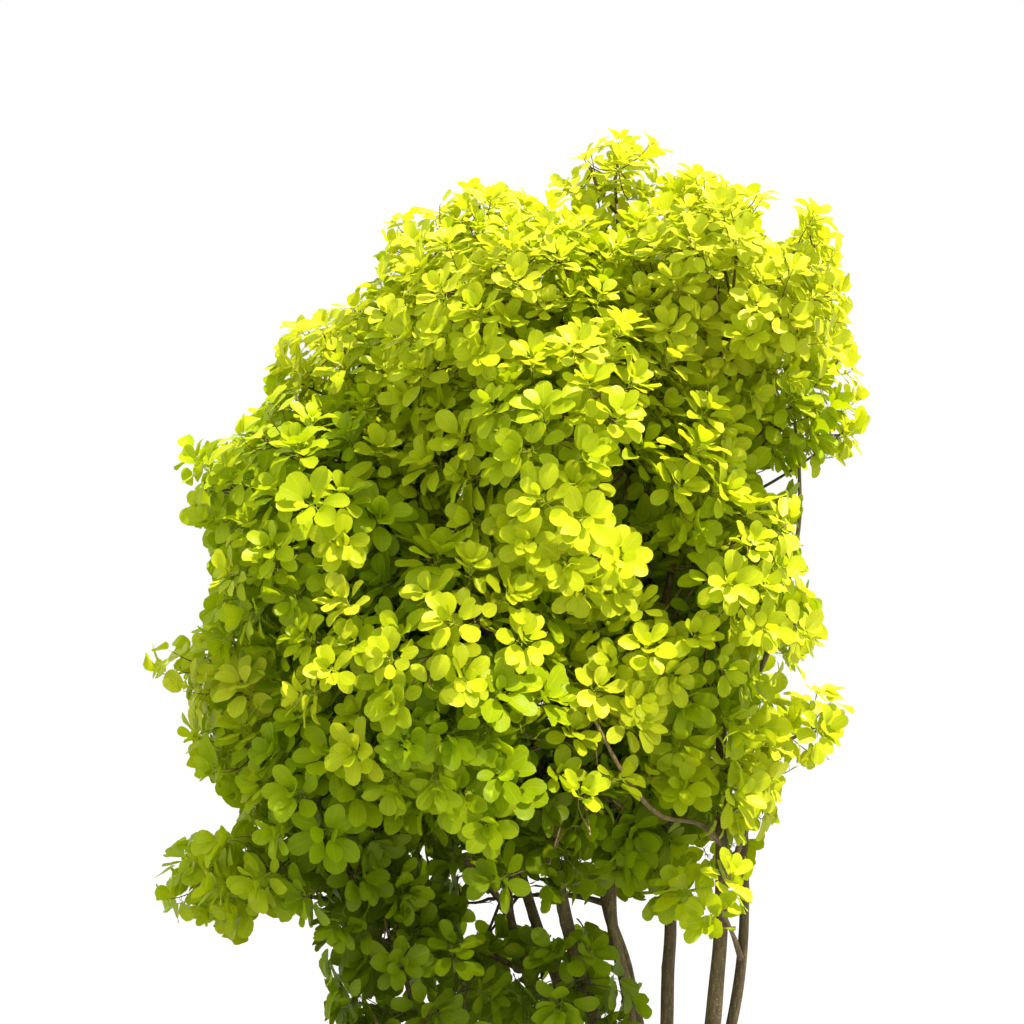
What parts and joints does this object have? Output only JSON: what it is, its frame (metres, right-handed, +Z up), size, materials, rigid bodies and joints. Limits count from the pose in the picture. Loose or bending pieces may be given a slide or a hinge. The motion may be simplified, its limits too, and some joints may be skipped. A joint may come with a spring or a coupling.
{
  "type": "smoke bush",
  "caption": "Many-stemmed garden shrub with golden rounded leaves: bare stems rise from a low root crown and branch into an open, leafy crown.",
  "frame": {"origin": "centre of the root crown's flat underside, at ground level", "axes": "+Z up along the plant; -Y towards the side that the picture shows; +X to that view's right; the crown leans to -X"},
  "size_m": [1.5739, 1.2942, 2.297],
  "materials": {
    "bark": "matt grey-brown bark with small raised pores",
    "young_bark": "smooth satin olive-brown young bark",
    "foliage_gold": "soft satin leaf, lemon yellow where the sun reaches it",
    "foliage_lime": "soft satin leaf, yellow-green",
    "foliage_green": "soft satin leaf, green in the shade of the crown"
  },
  "bodies": {
    "root": {"root_crown": "bark", "stem_back": "bark", "stem_centre": "bark", "stem_far_left": "bark", "stem_front": "bark", "stem_left": "bark", "stem_low_left": "bark", "stem_outer_right": "bark", "stem_right": "bark", "stem_slim_left": "bark", "low_left_bough": "young_bark", "low_right_bough": "young_bark", "lower_1_bough": "young_bark", "lower_2_bough": "young_bark", "lower_3_bough": "young_bark", "lower_4_bough": "young_bark", "lower_5_bough": "young_bark", "middle_1_bough": "young_bark", "middle_2_bough": "young_bark", "middle_3_bough": "young_bark", "middle_4_bough": "young_bark", "middle_5_bough": "young_bark", "right_bough": "young_bark", "skirt_2_bough": "young_bark", "skirt_3_bough": "young_bark", "upper_2_bough": "young_bark", "upper_5_bough": "young_bark", "widest_2_bough": "young_bark", "widest_4_bough": "young_bark", "widest_5_bough": "young_bark", "skirt_mass_1": "foliage_gold", "skirt_mass_2": "foliage_lime", "skirt_mass_3": "foliage_green", "lower_mass_1": "foliage_gold", "lower_mass_2": "foliage_lime", "lower_mass_3": "foliage_green", "lower_mass_4": "foliage_gold", "lower_mass_5": "foliage_lime", "middle_mass_1": "foliage_green", "middle_mass_2": "foliage_gold", "middle_mass_3": "foliage_lime", "middle_mass_4": "foliage_green", "middle_mass_5": "foliage_gold", "widest_mass_1": "foliage_lime", "widest_mass_2": "foliage_green", "widest_mass_3": "foliage_gold", "widest_mass_4": "foliage_lime", "widest_mass_5": "foliage_green", "upper_mass_1": "foliage_gold", "upper_mass_2": "foliage_lime", "upper_mass_3": "foliage_green", "upper_mass_4": "foliage_gold", "upper_mass_5": "foliage_lime", "top_mass_1": "foliage_green", "top_mass_2": "foliage_gold", "top_spray": "foliage_lime", "right_spray": "foliage_green", "low_left_spray": "foliage_gold", "low_right_spray": "foliage_lime"}
  },
  "joints": []
}
